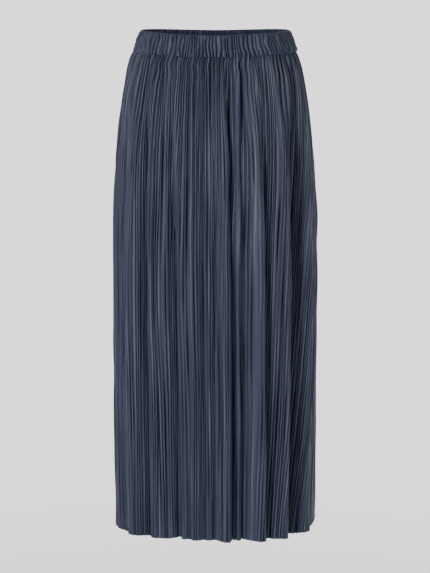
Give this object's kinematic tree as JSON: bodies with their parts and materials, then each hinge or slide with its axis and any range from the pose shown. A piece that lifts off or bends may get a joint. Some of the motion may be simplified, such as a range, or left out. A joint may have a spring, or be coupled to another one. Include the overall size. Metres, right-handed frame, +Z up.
{
  "type": "pleated midi skirt",
  "caption": "Midi-length skirt of fine lengthwise pleats on an elasticated pull-on waistband, filled out as when worn and open at the waist and hem.",
  "frame": {"origin": "middle of the waist, level with the waistband's upper edge at the side seams, where the wearer's waist holds the skirt up", "axes": "+Z up toward the wearer's upper body, -Y to the front of the skirt, +X to the wearer's left side"},
  "size_m": [0.3329, 0.2642, 0.806],
  "materials": {
    "plisse_cloth": "heat-set pleated polyester, slate navy, soft satin sheen",
    "band_cloth": "the same cloth gathered over elastic, slate navy"
  },
  "bodies": {
    "root": {"skirt_front": "plisse_cloth", "skirt_back": "plisse_cloth", "waistband": "band_cloth"}
  },
  "joints": []
}
